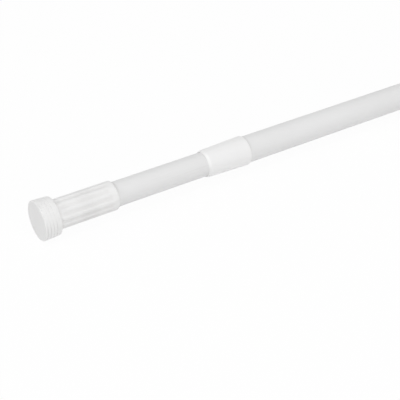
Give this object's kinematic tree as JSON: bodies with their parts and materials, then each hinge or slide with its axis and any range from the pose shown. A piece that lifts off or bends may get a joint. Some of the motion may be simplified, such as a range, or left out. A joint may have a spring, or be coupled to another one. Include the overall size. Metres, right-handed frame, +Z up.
{
  "type": "spring tension rod",
  "caption": "Telescopic curtain rod that a spring wedges between two walls, with a twist lock, a tapered collar and soft fluted end caps.",
  "frame": {"origin": "centre of the large cap's wall face", "axes": "+X runs along the rod from the large cap to the small cap, +Z is up, +Y completes a right-handed frame"},
  "size_m": [0.8, 0.0402, 0.0402],
  "materials": {
    "tube_paint": "white powder coat, satin",
    "collar_plastic": "white moulded plastic, soft gloss",
    "cap_rubber": "white soft moulded rubber, matt",
    "guide_plastic": "natural white moulded plastic",
    "sleeve_plastic": "grey moulded plastic",
    "cone_plastic": "black moulded plastic",
    "ring_rubber": "black rubber",
    "spring_steel": "drawn spring wire, oiled",
    "spindle_steel": "zinc plated steel"
  },
  "bodies": {
    "outer": {"outer_tube": "tube_paint", "collar": "collar_plastic", "large_end_cap": "cap_rubber"},
    "lock": {"expansion_sleeve": "sleeve_plastic", "grip_ring_1": "ring_rubber", "grip_ring_2": "ring_rubber", "thrust_washer": "spindle_steel"},
    "wedge": {"wedge_cone": "cone_plastic"},
    "spindle": {"spindle": "spindle_steel", "stop_nut": "spindle_steel", "spring_follower": "guide_plastic", "follower_nut": "spindle_steel"},
    "inner": {"inner_tube": "tube_paint", "small_end_cap": "cap_rubber", "nose_bush": "guide_plastic", "spring_stop": "guide_plastic", "compression_spring": "spring_steel"}
  },
  "joints": [
    {"name": "length_adjust", "type": "slide", "parent": "outer", "child": "lock", "axis": [1, 0, 0], "range_m": [-0.0715, 0.399]},
    {"name": "twist", "type": "hinge", "parent": "lock", "child": "spindle", "pos_m": [0.14, 0, 0], "axis": [1, 0, 0], "range_deg": [0, 540]},
    {"name": "cone_travel", "type": "slide", "parent": "lock", "child": "wedge", "axis": [1, 0, 0], "range_m": [0, 0.0015]},
    {"name": "spring_travel", "type": "slide", "parent": "spindle", "child": "inner", "axis": [1, 0, 0], "range_m": [-0.03, 0], "stiffness_N_per_m": 3000, "springref_m": 0.004, "deforming": ["compression_spring"]}
  ],
  "couplings": [
    {"joint": "cone_travel", "follows": "twist", "m_per_rad": 0.00015915}
  ]
}
